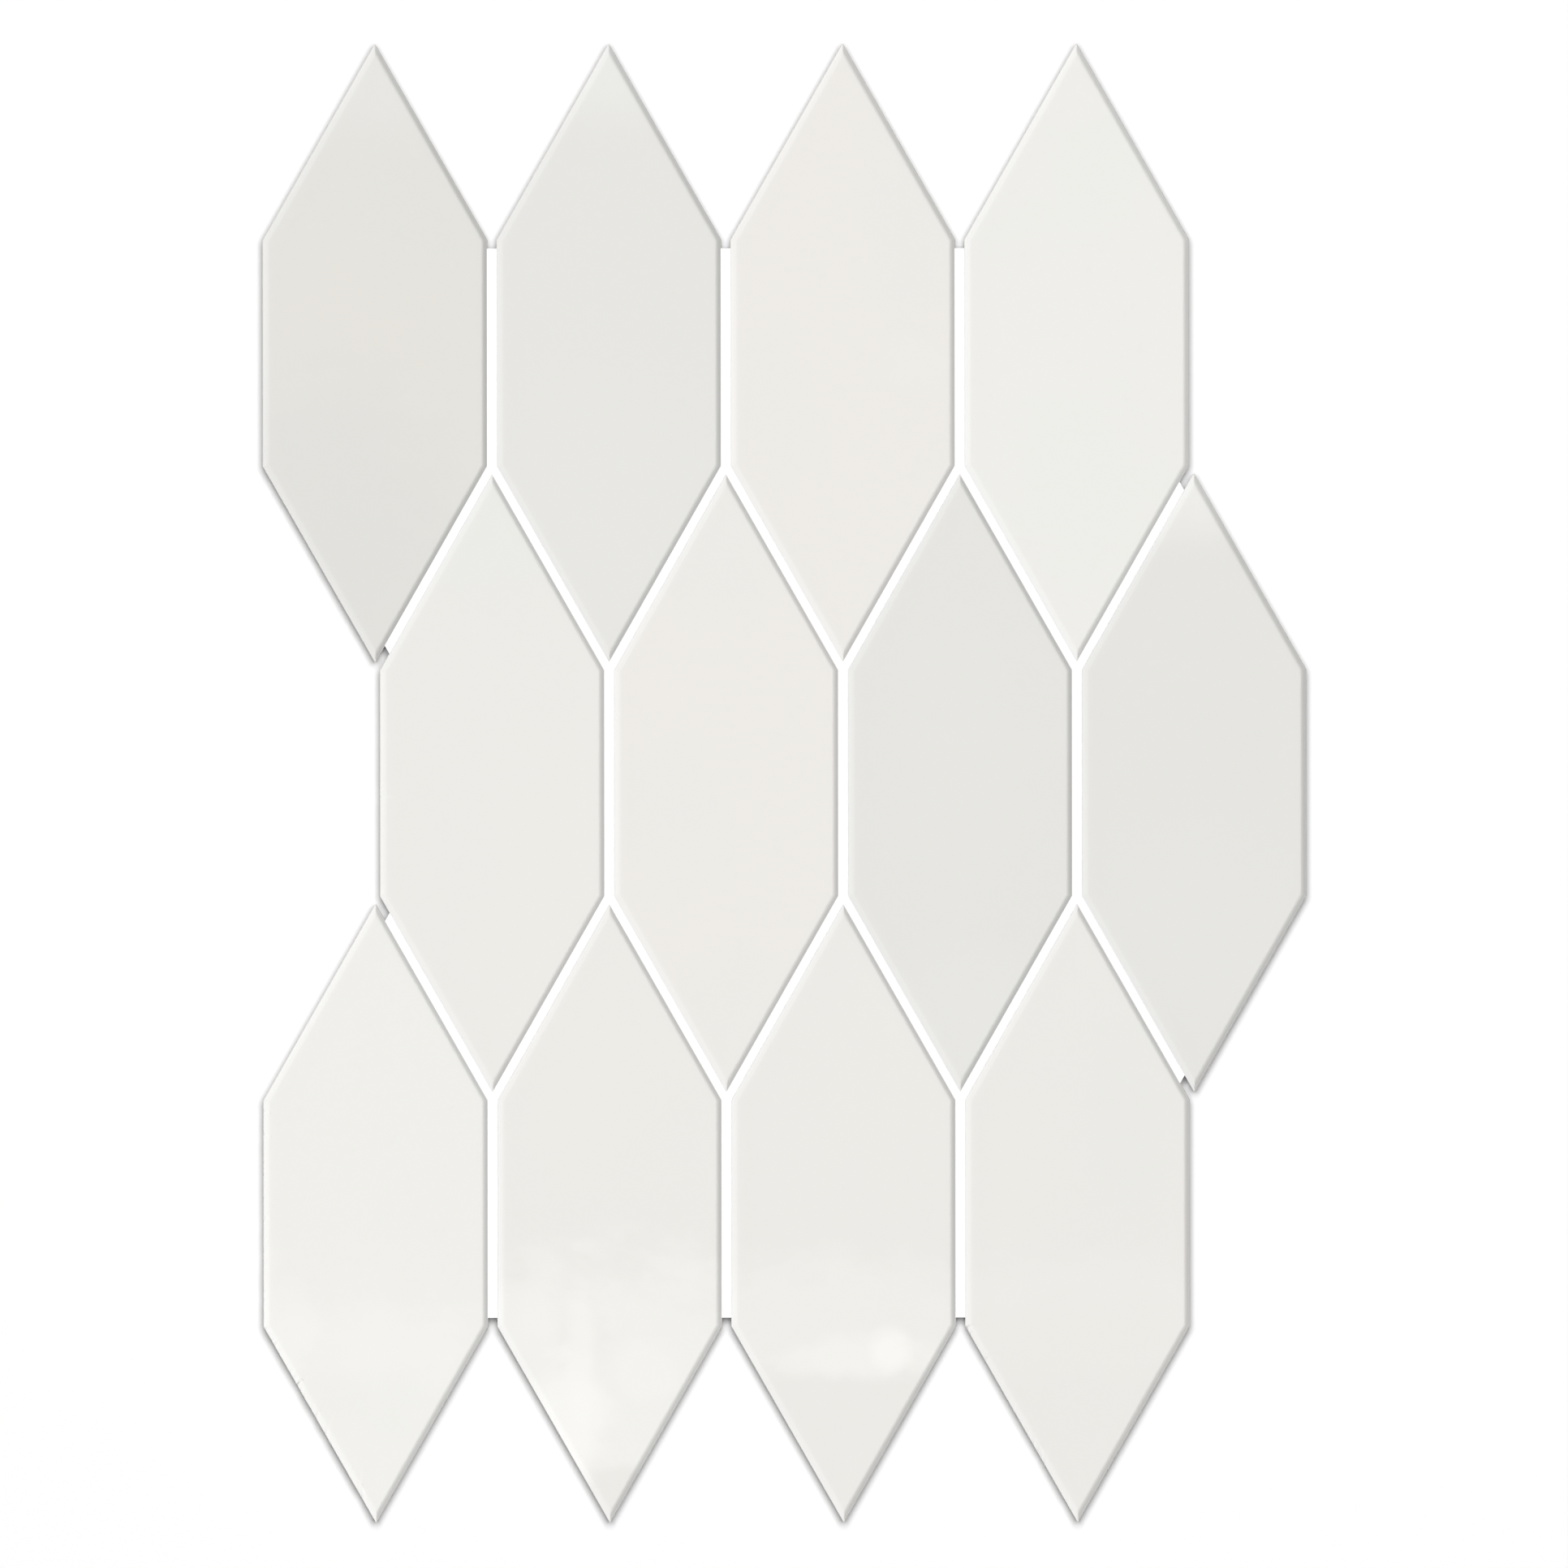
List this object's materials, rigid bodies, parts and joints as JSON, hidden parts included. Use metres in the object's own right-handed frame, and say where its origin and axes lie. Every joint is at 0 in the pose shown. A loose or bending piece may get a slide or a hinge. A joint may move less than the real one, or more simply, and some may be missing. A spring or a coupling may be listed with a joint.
{
  "type": "picket mosaic tile sheet",
  "caption": "Flat sheet of glazed ceramic picket tiles, pointed at both ends and cushion-edged, in staggered rows joined edge to edge by a white joint web.",
  "frame": {"origin": "middle of the sheet on the plane that the backs of the tiles lie in", "axes": "+X to the right across the rows and +Y up the sheet along the tiles, seen from the face; +Z out of the glazed face"},
  "size_m": [0.232, 0.3286, 0.008],
  "materials": {
    "glazed_tile": "glossy off-white glaze, faintly clouded, each tile a slightly different shade",
    "joint_filler": "matt white elastic joint filler"
  },
  "bodies": {
    "root": {"tile_row1_col1": "glazed_tile", "tile_row1_col2": "glazed_tile", "tile_row1_col3": "glazed_tile", "tile_row1_col4": "glazed_tile", "tile_row2_col1": "glazed_tile", "tile_row2_col2": "glazed_tile", "tile_row2_col3": "glazed_tile", "tile_row2_col4": "glazed_tile", "tile_row3_col1": "glazed_tile", "tile_row3_col2": "glazed_tile", "tile_row3_col3": "glazed_tile", "tile_row3_col4": "glazed_tile", "joint_web": "joint_filler"}
  },
  "joints": []
}
